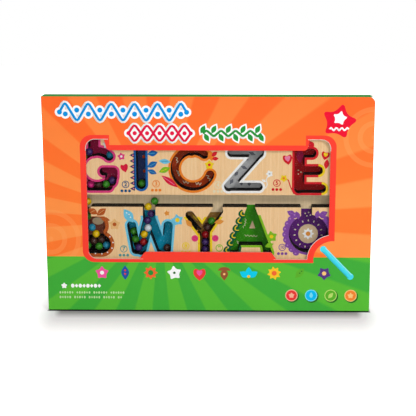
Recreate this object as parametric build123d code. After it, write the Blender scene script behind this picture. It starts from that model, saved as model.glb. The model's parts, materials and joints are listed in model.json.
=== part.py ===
from build123d import *
import math
import os

os.makedirs("parts", exist_ok=True)

# A bead maze board of wood under a clear cover, standing in a printed card
# sleeve with a shaped window. The beads run in letter shaped grooves and are
# drawn along by a pen with a magnet, which is stored in the bottom rail.
# Frame: +X to the right, +Y to the back, +Z up, origin under the middle of
# the sleeve on the surface it stands on. All sizes are in millimetres.

# Sleeve
carton_width = 330.0
card_thickness = 0.7
front_corner_radius = 6.0
top_panel_setback = 3.0
lap_width = 13.0

# Board
board_end_inset = 4.0
board_gap_front = 0.75
board_gap_back = 0.75
board_gap_top = 0.7
cover_thickness = 2.0
track_depth = 13.5
base_thickness = 3.0
print_gap = 0.15
side_rail_width = 14.0
bottom_rail_height = 53.9
trough_height = 12.6
top_rail_height = 25.6

# Beads and grooves
bead_diameter = 7.6
bead_clearance = 0.4
bead_gap = 0.3
bead_floor_gap = 0.3
cap_height = 34.4
foot_margin = 8.5
lower_mouth_height = 10.4
upper_mouth_height = 16.3
neck_width = 10.4

# Pen
pen_length = 128.0
pen_diameter = 9.6
pen_wall = 1.6
pen_clearance = 0.4
pen_nose_length = 9.0
pen_nose_tip_diameter = 5.0
pen_socket_length = 6.0
pen_fit_gap = 0.05
magnet_edge = 0.2
magnet_length = 8.0
plug_length = 7.0
knob_diameter = 12.4
knob_length = 2.6
knob_edge_radius = 0.8
pen_end_gap = 1.5

# Screws
screw_head_diameter = 6.0
screw_head_height = 1.7
screw_shank_diameter = 2.8
screw_length = 13.0
screw_hole_gap = 0.1
screw_edge_distance = 7.0
screw_recess_width = 0.7
screw_recess_length = 3.2
screw_recess_depth = 0.9
screw_point_share = 0.33
screw_columns = 4

# Allowance by which a cutting solid runs past what it cuts
overrun = 2.0

# Depths, from the front of the sleeve to its back
carton_depth = (2 * card_thickness + board_gap_front + board_gap_back
                + cover_thickness + track_depth + base_thickness)
sleeve_front = -carton_depth / 2
sleeve_back = carton_depth / 2
cover_front = sleeve_front + card_thickness + board_gap_front
track_front = cover_front + cover_thickness
track_back = track_front + track_depth
base_back = track_back + base_thickness

# Heights, from the bottom up
lower_plate_height = foot_margin + cap_height + lower_mouth_height
upper_plate_height = foot_margin + cap_height + upper_mouth_height
board_bottom = card_thickness
lower_plate_bottom = board_bottom + bottom_rail_height
lower_plate_top = lower_plate_bottom + lower_plate_height
upper_plate_bottom = lower_plate_top + trough_height
upper_plate_top = upper_plate_bottom + upper_plate_height
top_rail_bottom = upper_plate_top + trough_height
board_top = top_rail_bottom + top_rail_height
carton_height = board_top + board_gap_top + 2 * card_thickness
lower_foot = lower_plate_bottom + foot_margin
upper_foot = upper_plate_bottom + foot_margin

# Lengths along the board
board_length = carton_width - 2 * board_end_inset
board_right = board_length / 2
field_width = board_length - 2 * side_rail_width
field_right = field_width / 2

# Beads and grooves worked out
bead_radius = bead_diameter / 2
bead_pitch = bead_diameter + bead_gap
groove_width = bead_diameter + 2 * bead_clearance
bead_depth = track_back - bead_floor_gap - bead_radius


def slab(outline, front, back):
    """A flat piece with this outline, seen from the front, between two depths."""
    return extrude(Plane.XZ.offset(-front) * outline, amount=back - front, dir=(0, 1, 0))


def panel(left, right, bottom, top):
    """A rectangle given by its four sides."""
    middle = Pos((left + right) / 2, (bottom + top) / 2)
    return middle * Rectangle(right - left, top - bottom)


def groove(start, end, width):
    """A straight run with round ends."""
    reach = Vector(*end) - Vector(*start)
    angle = math.degrees(math.atan2(reach.Y, reach.X))
    middle = (Vector(*start) + Vector(*end)) / 2
    return Pos(middle.X, middle.Y) * Rot(0, 0, angle) * SlotCenterToCenter(reach.length, width)


def between(start, end, share):
    """The point at this share of the way from start to end."""
    return (start[0] + (end[0] - start[0]) * share, start[1] + (end[1] - start[1]) * share)


def step(start, heading, spacing_share=1):
    """The place of the next bead, at this heading from the one before."""
    reach = bead_pitch * spacing_share
    return (start[0] + reach * math.cos(math.radians(heading)),
            start[1] + reach * math.sin(math.radians(heading)))


def along(path, start):
    """The place of the next bead on a bent path, one spacing from the one before."""
    for near, far in zip(path, path[1:]):
        run = Vector(*far) - Vector(*near)
        back = Vector(*near) - Vector(*start)
        slope = back.dot(run) / run.length
        room = slope ** 2 - back.length ** 2 + bead_pitch ** 2
        travel = math.sqrt(max(room, 0)) - slope
        if room > 0 and 0 <= travel <= run.length:
            return between(near, far, travel / run.length)
    return path[-1]


def on_ring(middle, radius, angle):
    """A point on a ring, its angle counted from the right."""
    return (middle[0] + radius * math.cos(math.radians(angle)),
            middle[1] + radius * math.sin(math.radians(angle)))


def save(name, piece):
    export_step(piece, "parts/" + name + ".step")


# Sleeve: one printed card wrapped round the board, open at both ends. Its
# panels are parted at the creases, and the lap is glued under the top.
window_left = 122.0
window_right = 122.0
window_bottom = 54.6
window_top = 177.3
window_raised_bottom = 61.9
window_lowered_top = 166.4
window_corner_radius = 9.0
window_step_radius = 4.0
window_bite_radius = 26.4
window_top_step_shares = (-0.838, 0.82)
window_bottom_step_shares = (-0.552, 0.545)
window_slope = 5.5
window_bite_centre_out = 4.5
window_bite_centre_down = 0.6


def window_outline():
    """The die cut opening: a wide panel with raised and sunk corners."""
    top_left, top_right = [window_right * share for share in window_top_step_shares]
    bottom_left, bottom_right = [window_right * share for share in window_bottom_step_shares]
    half_slope = window_slope / 2
    points = [
        (-window_left, window_bottom),
        (bottom_left - half_slope, window_bottom),
        (bottom_left + half_slope, window_raised_bottom),
        (bottom_right - half_slope, window_raised_bottom),
        (bottom_right + half_slope, window_bottom),
        (window_right, window_bottom),
        (window_right, window_top),
        (top_right + half_slope / 2, window_top),
        (top_right - half_slope / 2, window_lowered_top),
        (top_left + half_slope / 2, window_lowered_top),
        (top_left - half_slope / 2, window_top),
        (-window_left, window_top),
    ]
    shape = make_face(Polyline(points, close=True))
    outer = [corner for corner in shape.vertices() if abs(corner.X) >= window_right]
    square = [corner for corner in outer if corner.X < 0 or corner.Y > window_lowered_top]
    shape = fillet(square, window_corner_radius)
    steps = [corner for corner in shape.vertices()
             if abs(corner.Y - window_lowered_top) < card_thickness
             or abs(corner.Y - window_raised_bottom) < card_thickness]
    shape = fillet(steps, window_step_radius)
    bite = Pos(window_right + window_bite_centre_out, window_bottom - window_bite_centre_down)
    return shape - bite * Circle(window_bite_radius)


def sleeve_panels():
    half = carton_width / 2
    front = panel(-half, half, 0, carton_height)
    tip = front.vertices().sort_by(Axis.X)[-2:].sort_by(Axis.Y)[-1]
    front = fillet(tip, front_corner_radius) - window_outline()
    save("carton_front", slab(front, sleeve_front, sleeve_front + card_thickness))
    back = panel(-half, half, 0, carton_height)
    save("carton_back", slab(back, sleeve_back - card_thickness, sleeve_back))
    inner_front = sleeve_front + card_thickness
    inner_back = sleeve_back - card_thickness
    top = panel(-half, half - top_panel_setback, carton_height - card_thickness, carton_height)
    save("carton_top", slab(top, inner_front, inner_back))
    bottom = panel(-half, half, 0, card_thickness)
    save("carton_bottom", slab(bottom, inner_front, inner_back))
    lap = panel(-half, half - top_panel_setback,
                carton_height - 2 * card_thickness, carton_height - card_thickness)
    save("carton_glue_lap", slab(lap, inner_back - lap_width, inner_back))


# Letters of the upper row. Each is a set of straight and ringed grooves whose
# neck opens upwards into the trough above. Places along the field are shares
# of its width, and places within a letter are shares of its own sizes.
g_middle = field_width * -0.381
g_ring_radius = 17.9
g_groove_width = 9.0
g_start_angle = 45.0
g_sweep_angle = 290.0
g_flat_shares = (0.46, 0.62)
g_bar_height_share = 0.44
g_bar_inner_share = 0.38
g_bar_outer_share = 0.93
g_corner_width = 12.0
g_corner_high_shares = (0.83, 0.72)
g_corner_low_shares = (0.76, 0.31)
g_neck_share = -0.16

i_middle = field_width * -0.23
i_groove_width = 9.7
i_foot_share = 0.06

c_middle = field_width * -0.052
c_ring_radius = 18.3
c_start_angle = 51.0
c_sweep_angle = 290.0
c_neck_share = -0.08

z_middle = field_width * 0.1215
z_width = 30.0
z_slope_width = 9.5
z_top_inset_share = 0.09

e_stem = field_width * 0.3115
e_stem_width = 10.2
e_arm_width = 9.0
e_foot_share = -0.047
e_middle_share = 0.51
e_arm_low = 22.6
e_arm_middle = 19.0
e_arm_high = 12.2


def g_corner():
    """The upper and lower end of the wide bend at the right of the G."""
    return [(g_middle + g_ring_radius * across, upper_foot + g_ring_radius * up)
            for across, up in (g_corner_high_shares, g_corner_low_shares)]


def letter_g():
    middle = (g_middle, upper_foot + g_ring_radius)
    path = CenterArc((0, 0), g_ring_radius, g_start_angle, g_sweep_angle)
    ring = Pos(*middle) * SlotArc(path, g_groove_width)
    flat_left = g_middle - g_ring_radius * g_flat_shares[0]
    flat_right = g_middle + g_ring_radius * g_flat_shares[1]
    foot = groove((flat_left, upper_foot), (flat_right, upper_foot), g_groove_width)
    bar_height = upper_foot + cap_height * g_bar_height_share
    bar = groove((g_middle + g_ring_radius * g_bar_inner_share, bar_height),
                 (g_middle + g_ring_radius * g_bar_outer_share, bar_height), groove_width)
    high, low = g_corner()
    corner = groove(high, low, g_corner_width)
    neck_foot = (g_middle + g_ring_radius * g_neck_share, middle[1] + g_ring_radius)
    neck_top = (neck_foot[0], upper_plate_top + neck_width)
    return ring + foot + bar + corner + groove(neck_foot, neck_top, neck_width)


def letter_i():
    foot = (i_middle, upper_foot + cap_height * i_foot_share)
    return groove(foot, (i_middle, upper_plate_top + i_groove_width), i_groove_width)


def letter_c():
    middle = (c_middle, upper_foot + c_ring_radius)
    path = CenterArc((0, 0), c_ring_radius, c_start_angle, c_sweep_angle)
    ring = Pos(*middle) * SlotArc(path, groove_width)
    neck_foot = (c_middle + c_ring_radius * c_neck_share, middle[1] + c_ring_radius)
    neck_top = (neck_foot[0], upper_plate_top + neck_width)
    return ring + groove(neck_foot, neck_top, neck_width)


def letter_z():
    left = z_middle - z_width / 2
    right = z_middle + z_width / 2
    top = upper_foot + cap_height
    arms = groove((left, upper_foot), (right, upper_foot), groove_width)
    arms += groove((left + z_width * z_top_inset_share, top), (right, top), groove_width)
    slope = groove((left, upper_foot), (right, top), z_slope_width)
    neck = groove((right, top), (right, upper_plate_top + neck_width), neck_width)
    return arms + slope + neck


def letter_e():
    foot = upper_foot + cap_height * e_foot_share
    shape = groove((e_stem, foot), (e_stem, upper_plate_top + e_stem_width), e_stem_width)
    heights = (foot, foot + (upper_foot + cap_height - foot) * e_middle_share,
               upper_foot + cap_height)
    for height, reach in zip(heights, (e_arm_low, e_arm_middle, e_arm_high)):
        shape += groove((e_stem, height), (e_stem + reach, height), e_arm_width)
    return shape


# Letters of the lower row. Their necks open into the trough between the rows.
b_stem = field_width * -0.4244
b_stem_width = 11.0
b_low_bowl_share = 2.58
b_low_reach_share = 1.9
b_high_bowl_share = 2.3
b_high_reach_share = 1.38
b_waist_share = 1.37
b_waist_reach_share = 1.62
b_bowl_start_share = 0.6
b_foot_share = 0.02

w_middle = field_width * -0.2039
w_height = 34.7
w_arm_width = 9.4
w_slope_width = 11.0
w_span = 20.0
w_arm_top_share = 0.73
w_arm_lean_shares = (-0.44, 0.22)
w_valley_inner_shares = (-0.45, 0.64)
w_valley_outer_shares = (-0.7, 0.85)
w_neck_width = 12.9

y_stem = field_width * -0.0116
y_stem_width = 10.2
y_fork_share = 0.45
y_left_share = (-0.445, 1.06)
y_arm_width = 8.9
y_right_width = 11.2
y_bend_share = (0.375, 1.197)
y_right_foot_share = 0.61
y_neck_width = 10.2
y_foot_drop = 0.7

a_middle = field_width * 0.147
a_neck_width = 8.4
a_foot_width = 45.0
a_leg_width = 9.4
a_bar_height = 9.4
a_leg_drop = 4.2
a_corner_radius = 1.6

o_middle = field_width * 0.346
o_radius = 20.0
o_neck_width = 11.2
o_neck_share = -0.115
o_drop = 1.7


def b_places():
    """The foot of the stem and the middles of the two bowls."""
    low = lower_foot + cap_height * b_foot_share + b_stem_width / 2 - groove_width / 2
    bowl = lower_foot - groove_width / 2 + bead_pitch * b_low_bowl_share / 2
    high = bowl + bead_pitch * (b_low_bowl_share + b_high_bowl_share) / 2
    return low, bowl, high


def letter_b():
    low, bowl, high = b_places()
    start = b_stem + bead_pitch * b_bowl_start_share
    waist = (bowl + high) / 2 + bead_clearance
    top = (b_stem, lower_plate_top + b_stem_width)
    shape = groove((b_stem, low), top, b_stem_width)
    for height, width_share, reach_share in (
            (bowl, b_low_bowl_share, b_low_reach_share),
            (waist, b_waist_share, b_waist_reach_share),
            (high, b_high_bowl_share, b_high_reach_share)):
        end = (b_stem + bead_pitch * reach_share, height)
        shape += groove((start, height), end, bead_pitch * width_share)
    return shape


def w_arm(side):
    """Foot and top of one outer arm, side 0 for left and 1 for right."""
    foot = (w_middle + w_span * w_valley_outer_shares[side], lower_foot)
    top = (foot[0] + w_arm_width * w_arm_lean_shares[side], lower_foot + w_height * w_arm_top_share)
    return foot, top


def letter_w():
    neck_foot = (w_middle, lower_foot + w_height)
    shape = groove(neck_foot, (w_middle, lower_plate_top + w_neck_width), w_neck_width)
    for side in (0, 1):
        foot, top = w_arm(side)
        inner = (w_middle + w_span * w_valley_inner_shares[side], lower_foot)
        shape += groove(foot, top, w_arm_width)
        shape += groove(foot, inner, w_arm_width)
        shape += groove(inner, neck_foot, w_slope_width)
    return shape


def y_places():
    """Foot, fork, left end, right bend and foot of the right arm."""
    foot = (y_stem, lower_foot - y_foot_drop)
    fork = (y_stem, lower_foot + cap_height * y_fork_share)
    left = (y_stem + cap_height * y_left_share[0], lower_foot + cap_height * y_left_share[1])
    bend = (y_stem + cap_height * y_bend_share[0], lower_foot + cap_height * y_bend_share[1])
    arm_foot = (y_stem, lower_foot + cap_height * y_right_foot_share)
    return foot, fork, left, bend, arm_foot


def letter_y():
    foot, fork, left, bend, arm_foot = y_places()
    shape = groove(foot, arm_foot, y_stem_width)
    shape += groove(fork, left, y_arm_width)
    shape += groove(arm_foot, bend, y_right_width)
    return shape + groove(bend, (bend[0], lower_plate_top + y_neck_width), y_neck_width)


def letter_a():
    foot = lower_foot - a_leg_drop
    half_foot = a_foot_width / 2
    half_neck = a_neck_width / 2
    bar = foot + a_bar_height
    inner = half_foot - a_leg_width
    lean = (half_foot - half_neck) / (lower_plate_top - foot)
    points = [
        (-half_foot, foot), (-inner, foot), (-inner + lean * a_bar_height / 2, bar),
        (inner - lean * a_bar_height / 2, bar), (inner, foot), (half_foot, foot),
        (half_neck, lower_plate_top), (half_neck, lower_plate_top + overrun),
        (-half_neck, lower_plate_top + overrun), (-half_neck, lower_plate_top)]
    shape = make_face(Polyline([(a_middle + x, z) for x, z in points], close=True))
    low = [corner for corner in shape.vertices() if corner.Y < lower_plate_top]
    return fillet(low, a_corner_radius)


def letter_o():
    middle = (o_middle, lower_foot - groove_width / 2 + o_radius + o_drop)
    neck = o_middle + o_radius * o_neck_share
    shape = Pos(*middle) * Circle(o_radius)
    return shape + groove((neck, middle[1]), (neck, lower_plate_top + o_neck_width), o_neck_width)


def track_plates():
    """Two rows of wood with the letters cut through, their print clear of the cover."""
    front = track_front + print_gap
    upper = panel(-field_right, field_right, upper_plate_bottom, upper_plate_top)
    for letter in (letter_g, letter_i, letter_c, letter_z, letter_e):
        upper -= letter()
    save("upper_track_plate", slab(upper, front, track_back))
    lower = panel(-field_right, field_right, lower_plate_bottom, lower_plate_top)
    for letter in (letter_b, letter_w, letter_y, letter_a, letter_o):
        lower -= letter()
    save("lower_track_plate", slab(lower, front, track_back))


# Frame, base and cover. The four rails carry the clear cover, the base closes
# the grooves behind, and screws through the cover bite into the rails.
pen_height = board_bottom + bottom_rail_height / 2
pen_middle_depth = (track_front + track_back) / 2
bore_radius = pen_diameter / 2 + pen_clearance
bore_length = pen_length + pen_end_gap


def screw_places():
    """Two rows of four, near the board's upper and lower edges."""
    reach = board_right - screw_edge_distance
    low = board_bottom + screw_edge_distance
    high = board_top - screw_edge_distance
    places = []
    for column in range(screw_columns):
        across = 2 * reach * column / (screw_columns - 1) - reach
        places += [(across, low), (across, high)]
    return places


def screw_holes(radius):
    shape = Sketch()
    for place in screw_places():
        shape += Pos(*place) * Circle(radius)
    return shape


def along_y(place, front, piece):
    """Stands a piece that was made along Z on this place, running to the back."""
    return Pos(place[0], front, place[1]) * Rot(-90, 0, 0) * piece


def frame_rails():
    pilot = slab(screw_holes(screw_shank_diameter / 2 + screw_hole_gap), track_front,
                 cover_front + screw_length + screw_head_height)
    left = -board_right
    bottom = slab(panel(left, board_right, board_bottom, lower_plate_bottom), track_front, track_back)
    bore = Pos(board_right - bore_length / 2, pen_middle_depth, pen_height) * Rot(0, 90, 0)
    bottom -= bore * Cylinder(bore_radius, bore_length)
    save("frame_bottom_rail", bottom - pilot)
    top = slab(panel(left, board_right, top_rail_bottom, board_top), track_front, track_back)
    save("frame_top_rail", top - pilot)
    side = panel(left, -field_right, lower_plate_bottom, top_rail_bottom)
    save("frame_left_rail", slab(side, track_front, track_back))
    side = panel(field_right, board_right, lower_plate_bottom, top_rail_bottom)
    save("frame_right_rail", slab(side, track_front, track_back))


def base_and_cover():
    outline = panel(-board_right, board_right, board_bottom, board_top)
    save("base_board", slab(outline, track_back, base_back))
    cover = slab(outline, cover_front, track_front)
    head_radius = screw_head_diameter / 2 + screw_hole_gap
    shank_radius = screw_shank_diameter / 2 + screw_hole_gap
    for place in screw_places():
        sink = Pos(0, 0, screw_head_height / 2) * Cone(head_radius, shank_radius, screw_head_height)
        cover -= along_y(place, cover_front, sink)
    cover -= slab(screw_holes(shank_radius), cover_front, track_front)
    save("clear_cover", cover)


def cover_screws():
    head_radius = screw_head_diameter / 2
    shank_radius = screw_shank_diameter / 2
    screw = Pos(0, 0, screw_head_height / 2) * Cone(head_radius, shank_radius, screw_head_height)
    shank_length = screw_length - screw_head_height - shank_radius
    screw += Pos(0, 0, screw_head_height + shank_length / 2) * Cylinder(shank_radius, shank_length)
    point = Cone(shank_radius, shank_radius * screw_point_share, shank_radius)
    screw += Pos(0, 0, screw_length - shank_radius / 2) * point
    for size in ((screw_recess_length, screw_recess_width), (screw_recess_width, screw_recess_length)):
        screw -= Box(*size, 2 * screw_recess_depth)
    save("cover_screws", Compound([along_y(place, cover_front, screw) for place in screw_places()]))


# Pen: a plastic tube with the magnet behind a rounded nose and a knob at the
# other end, stored in the bottom rail and drawn out to the right.
def pen_part(start, piece):
    """Lays a piece that was made along Z into the bore, start from its inner end."""
    inner_end = board_right - pen_length
    return Pos(inner_end + start, pen_middle_depth, pen_height) * Rot(0, 90, 0) * piece


def pen_pieces():
    radius = pen_diameter / 2
    hollow = radius - pen_wall
    tip = pen_nose_tip_diameter / 2
    tube_length = pen_length - pen_nose_length
    tube = Cylinder(radius, tube_length) - Cylinder(hollow, tube_length + overrun)
    save("pen_barrel", pen_part(pen_nose_length + tube_length / 2, tube))
    nose = Pos(0, 0, pen_nose_length / 2) * Cone(tip, radius, pen_nose_length)
    nose = fillet(nose.faces().sort_by(Axis.Z)[0].edges(), tip / 2)
    socket = hollow - pen_fit_gap
    nose += Pos(0, 0, pen_nose_length + pen_socket_length / 2) * Cylinder(socket, pen_socket_length)
    save("pen_nose", pen_part(0, nose))
    magnet_start = pen_nose_length + pen_socket_length
    magnet = Cylinder(socket, magnet_length)
    magnet = chamfer(magnet.edges(), magnet_edge)
    save("pen_magnet", pen_part(magnet_start + magnet_length / 2, magnet))
    plug = Pos(0, 0, -plug_length / 2) * Cylinder(socket, plug_length)
    knob = Pos(0, 0, knob_length / 2) * Cylinder(knob_diameter / 2, knob_length)
    knob = fillet(knob.faces().sort_by(Axis.Z)[-1].edges(), knob_edge_radius)
    save("pen_knob", pen_part(pen_length, plug + knob))


# Beads: round steel cores in coloured plastic. Each lies against the base
# board, at the place that its groove, its row and the bead before it give.
# An angle is the direction in degrees from one bead to the next.
g_left_angle = 178
g_right_angle = 2
g_corner_angle = -45
g_side_beads = 4
b_low_angle = 37.4
b_low_spacing_share = 1.02
b_yellow_angle = 70
b_blue_angle = 121
b_green_angle = -47
b_blue_low_angle = 10.4
b_brown_angle = -45.5
b_stem_beads = 3
w_arm_bead_shares = (0.36, 0.69)
w_valley_bead_share = 0.4
w_trough_bead_share = 0.4
w_column = ("red", "yellow", "white", "purple_middle", "purple_high", "mouth_yellow")
w_column_angles = (51, 85, 59, 93, 62, 111)
y_column = ("purple_high", "red", "brown", "green")


def g_beads():
    """The foot of the G, its corner, its terminal and the full left side."""
    middle = (g_middle, upper_foot + g_ring_radius)
    turn = math.degrees(2 * math.asin(bead_pitch / (2 * g_ring_radius)))
    lean = math.degrees(math.atan2(bead_pitch, g_ring_radius))
    foot_angle = 90
    foot = (g_middle, upper_foot)
    green = step(foot, g_right_angle)
    high, low = g_corner()
    room = g_corner_width / 2 - bead_radius - 2 * bead_clearance
    rest = on_ring(low, room, g_corner_angle)
    places = dict(
        bead_g_brown=foot, bead_g_green=green, bead_g_pink=step(foot, g_left_angle),
        bead_g_corner_purple=along((green, rest, high), green),
        bead_g_blue=on_ring(middle, g_ring_radius, g_start_angle))
    angle = -lean - foot_angle
    for number in range(g_side_beads):
        angle -= turn
        places["bead_g_side_" + str(number + 1)] = on_ring(middle, g_ring_radius, angle)
    places["bead_g_top_purple"] = on_ring(middle, g_ring_radius, angle - turn)
    return places


def i_beads():
    lift = bead_radius + bead_floor_gap - i_groove_width / 2
    return dict(bead_i_green=(i_middle, upper_foot + cap_height * i_foot_share + lift))


def b_beads():
    """A pile in the bowls and a staggered column in the stem."""
    low = b_places()[0]
    corner = (b_stem, low)
    brown_low = step(corner, b_low_angle, b_low_spacing_share)
    yellow = step(brown_low, b_yellow_angle)
    blue = step(yellow, b_blue_angle)
    green = step(brown_low, b_green_angle)
    places = dict(
        bead_b_green_corner=corner, bead_b_brown_low=brown_low, bead_b_yellow=yellow,
        bead_b_blue=blue, bead_b_green=green, bead_b_blue_low=step(green, b_blue_low_angle),
        bead_b_brown=step(yellow, b_brown_angle))
    wall_x = b_stem - b_stem_width / 2 + bead_radius + bead_clearance
    rise = math.sqrt(bead_pitch ** 2 - (blue[0] - wall_x) ** 2)
    side = b_stem_width / 2 - bead_radius - bead_clearance
    climb = math.sqrt(bead_pitch ** 2 - (2 * side) ** 2)
    height = blue[1] + rise
    for number in range(b_stem_beads):
        across = b_stem + side * (-1 if number % 2 == 0 else 1)
        places["bead_b_stem_" + str(number + 1)] = (across, height)
        height += climb
    places["bead_b_mouth_yellow"] = (b_stem + side, height)
    return places


def w_beads():
    """A crooked column from the left valley to the mouth, and three others."""
    left_foot, left_top = w_arm(0)
    low_share, high_share = w_arm_bead_shares
    inner = (w_middle + w_span * w_valley_inner_shares[0], lower_foot)
    spot = between(left_foot, inner, w_valley_bead_share)
    places = dict(
        bead_w_arm_green_low=between(left_foot, left_top, low_share),
        bead_w_arm_green_high=between(left_foot, left_top, high_share),
        bead_w_brown=w_arm(1)[0], bead_w_purple_low=spot)
    for name, heading in zip(w_column, w_column_angles):
        spot = step(spot, heading)
        places["bead_w_" + name] = spot
    trough_x = w_middle + w_neck_width / 2 - bead_radius * w_trough_bead_share
    places["bead_w_trough_green"] = (trough_x, lower_plate_top + bead_radius + bead_floor_gap)
    return places


def y_beads():
    """A column in the stem that leans against the lower side of the right arm."""
    foot, fork, left, bend, arm_foot = y_places()
    lift = bead_radius + bead_floor_gap - y_stem_width / 2
    spot = (foot[0], foot[1] + lift)
    rise = (bend[1] - arm_foot[1]) / (bend[0] - arm_foot[0])
    lean = y_right_width / 2 - bead_radius - bead_clearance
    drop = lean * math.sqrt(1 + rise ** 2)
    path = (spot, (foot[0], arm_foot[1] - drop), (bend[0], bend[1] - drop))
    places = dict(bead_y_purple_low=spot)
    for name in y_column:
        spot = along(path, spot)
        places["bead_y_" + name] = spot
    return places


def bead_places():
    places = {}
    for group in (g_beads(), i_beads(), b_beads(), w_beads(), y_beads()):
        places.update(group)
    return places


def beads():
    for name, (across, height) in bead_places().items():
        save(name, Pos(across, bead_depth, height) * Sphere(bead_radius))


sleeve_panels()
base_and_cover()
frame_rails()
track_plates()
cover_screws()
pen_pieces()
beads()
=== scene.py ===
import json
import math
import bpy
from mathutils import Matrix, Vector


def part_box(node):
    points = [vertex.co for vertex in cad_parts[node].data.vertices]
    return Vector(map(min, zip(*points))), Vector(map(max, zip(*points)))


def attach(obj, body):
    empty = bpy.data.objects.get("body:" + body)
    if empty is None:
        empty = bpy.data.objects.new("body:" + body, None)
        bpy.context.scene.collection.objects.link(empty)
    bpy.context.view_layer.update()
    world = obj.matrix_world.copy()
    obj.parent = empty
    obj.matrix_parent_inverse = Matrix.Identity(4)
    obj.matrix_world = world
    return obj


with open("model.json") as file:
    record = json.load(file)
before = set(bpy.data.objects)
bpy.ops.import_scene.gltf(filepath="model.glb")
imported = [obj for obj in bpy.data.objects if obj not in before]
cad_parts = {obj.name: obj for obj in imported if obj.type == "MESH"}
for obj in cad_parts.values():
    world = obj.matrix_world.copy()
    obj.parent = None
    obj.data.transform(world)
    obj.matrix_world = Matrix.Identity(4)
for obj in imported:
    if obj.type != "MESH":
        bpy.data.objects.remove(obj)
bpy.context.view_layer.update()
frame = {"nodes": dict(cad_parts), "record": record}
nodes = frame["nodes"]

# Base board. A sheet of bare plywood closes the grooves behind and is the floor
# that the beads roll on. It is greyer than the tracks, with fine upright grain.
plywood_pale = (238, 213, 172)
plywood_dark = (218, 193, 150)
burnt_dark = (8, 5, 4)
burnt_light = (30, 19, 13)
burnt_patches = (500, 60, 500)
wood_roughness = 0.62
wood_shine = 0.2
grain_streaks = (900, 900, 22)
grain_pores = (2600, 2600, 160)
grain_depth = 0.00004
pore_darkness = 0.08


def tone(colour):
    """A colour as a picture shows it, as the shader's own light values."""
    parts = [part / 255 for part in colour]
    light = [((part + 0.055) / 1.055) ** 2.4 if part > 0.04 else part / 12.92 for part in parts]
    return (*light, 1.0)


def finish(name, roughness, shine=0.5):
    """A new material, its node tree and its main shader."""
    made = bpy.data.materials.new(name)
    made.use_nodes = True
    shader = made.node_tree.nodes["Principled BSDF"]
    shader.inputs["Roughness"].default_value = roughness
    shader.inputs["Specular IOR Level"].default_value = shine
    return made, made.node_tree, shader


def add(tree, kind, sockets=(), **settings):
    """One more node, its settings made and its sockets set or linked."""
    made = tree.nodes.new("ShaderNode" + kind)
    for key, value in settings.items():
        setattr(made, key, value)
    for key, value in dict(sockets).items():
        if isinstance(value, bpy.types.NodeSocket):
            tree.links.new(value, made.inputs[key])
        else:
            made.inputs[key].default_value = value
    return made


def calc(tree, operation, first, second=0.0):
    return add(tree, "Math", {0: first, 1: second}, operation=operation).outputs[0]


def tint(tree, share, low, high):
    """A colour between two, by a share from 0 to 1."""
    return add(tree, "Mix", {0: share, 6: low, 7: high}, data_type="RGBA").outputs[2]


def ramp(tree, value, limits, low=0.0, high=1.0):
    """Turns what a value is between two limits into one between two others."""
    sockets = {"Value": value, "From Min": limits[0], "From Max": limits[1],
               "To Min": low, "To Max": high}
    return add(tree, "MapRange", sockets).outputs[0]


def where(tree):
    """Where a point lies on the object, along each of its three sides."""
    spot = add(tree, "TexCoord").outputs["Object"]
    return add(tree, "SeparateXYZ", {0: spot}).outputs


def cloud(tree, to_the_metre, detail, soft=0.3):
    """Uneven shading from 0 to 1, with so many patches to the metre each way."""
    spot = add(tree, "TexCoord").outputs["Object"]
    spread = add(tree, "Mapping", {"Vector": spot, "Scale": to_the_metre}).outputs[0]
    noise = add(tree, "TexNoise", {"Vector": spread, "Scale": 1.0, "Detail": detail}).outputs[0]
    return ramp(tree, noise, (0.5 - soft / 2, 0.5 + soft / 2))


def relief(tree, shader, height, depth):
    """Raises and sinks a surface by a depth in metres."""
    bump = add(tree, "Bump", {"Height": height, "Distance": depth, "Strength": 1.0})
    tree.links.new(bump.outputs[0], shader.inputs["Normal"])


def colour_by(tree, shader, colour):
    tree.links.new(colour, shader.inputs["Base Color"])


def paint(finished, *names):
    """Puts one finish on named pieces."""
    for name in names:
        slots = nodes[name].data.materials
        slots.clear()
        slots.append(finished)


def wood(name, pale, dark, burnt_behind=None):
    """Fine upright grain, and burnt brown on every wall behind the sawn face."""
    made, tree, shader = finish(name, wood_roughness, wood_shine)
    streaks = cloud(tree, grain_streaks, 4, 0.5)
    pores = cloud(tree, grain_pores, 2, 0.4)
    colour = tint(tree, streaks, tone(pale), tone(dark))
    colour = tint(tree, calc(tree, "MULTIPLY", pores, pore_darkness), colour, tone(burnt_light))
    if burnt_behind is not None:
        depth = where(tree)[1]
        wall = calc(tree, "GREATER_THAN", depth, burnt_behind)
        char = tint(tree, cloud(tree, burnt_patches, 3), tone(burnt_dark), tone(burnt_light))
        colour = tint(tree, wall, colour, char)
    colour_by(tree, shader, colour)
    relief(tree, shader, calc(tree, "ADD", streaks, pores), grain_depth)
    return made


paint(wood("plywood", plywood_pale, plywood_dark), "base_board")

# Track plates. Two rows of pale limewood, with the letters cut through them by
# a laser, which leaves the walls of each groove and the upper edges burnt.
limewood_pale = (250, 213, 163)
limewood_dark = (240, 194, 139)
plate_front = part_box("upper_track_plate")[0].y
burnt_margin = 0.0003
limewood = wood("limewood", limewood_pale, limewood_dark, plate_front + burnt_margin)
paint(limewood, "upper_track_plate", "lower_track_plate")

# Frame rails. Four strips of the same limewood hold the plates, and the lower
# one is bored from the right for the pen. They carry no print.
rail_wood = wood("rail_wood", limewood_pale, limewood_dark)
paint(rail_wood, "frame_bottom_rail", "frame_top_rail", "frame_left_rail", "frame_right_rail")

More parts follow.
